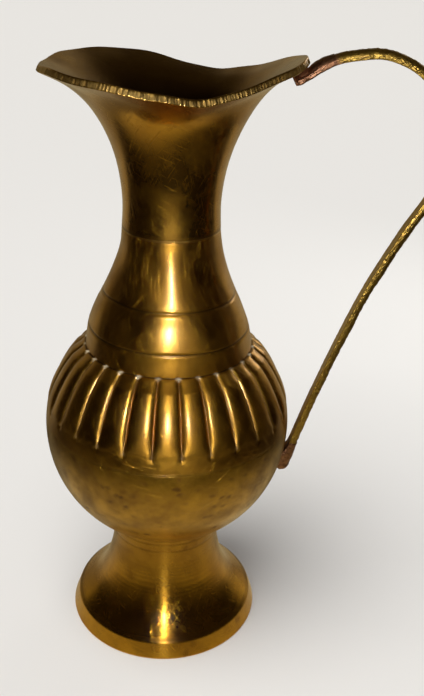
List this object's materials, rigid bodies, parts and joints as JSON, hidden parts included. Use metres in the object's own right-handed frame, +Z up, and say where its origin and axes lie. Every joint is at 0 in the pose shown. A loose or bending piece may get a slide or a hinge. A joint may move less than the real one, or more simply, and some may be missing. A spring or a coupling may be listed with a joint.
{
  "type": "footed ewer",
  "caption": "Small footed ewer with a wavy flared lip, slender neck, lined cone, fluted upper bowl and a tall strap handle, for holding and pouring water.",
  "frame": {"origin": "on the table, under the middle of the whole ewer's box; the bowl's own axis stands 17.3 mm towards -X of it", "axes": "+Z up along the bowl's axis, +X towards the handle, so that the pouring end of the lip is at -X"},
  "size_m": [0.1014, 0.0668, 0.1638],
  "materials": {
    "turned_brass": "polished and lightly worn",
    "cast_brass": "cast skin, rubbed bright",
    "seam_braze": "brazed seam, turned flush",
    "braze": "rough copper-coloured braze"
  },
  "bodies": {
    "root": {"foot": "turned_brass", "foot_braze": "braze", "bowl": "turned_brass", "belly_braze": "seam_braze", "shoulder": "turned_brass", "neck_braze": "seam_braze", "neck": "turned_brass", "handle": "cast_brass", "handle_braze_upper": "braze", "handle_braze_lower": "braze"}
  },
  "joints": []
}
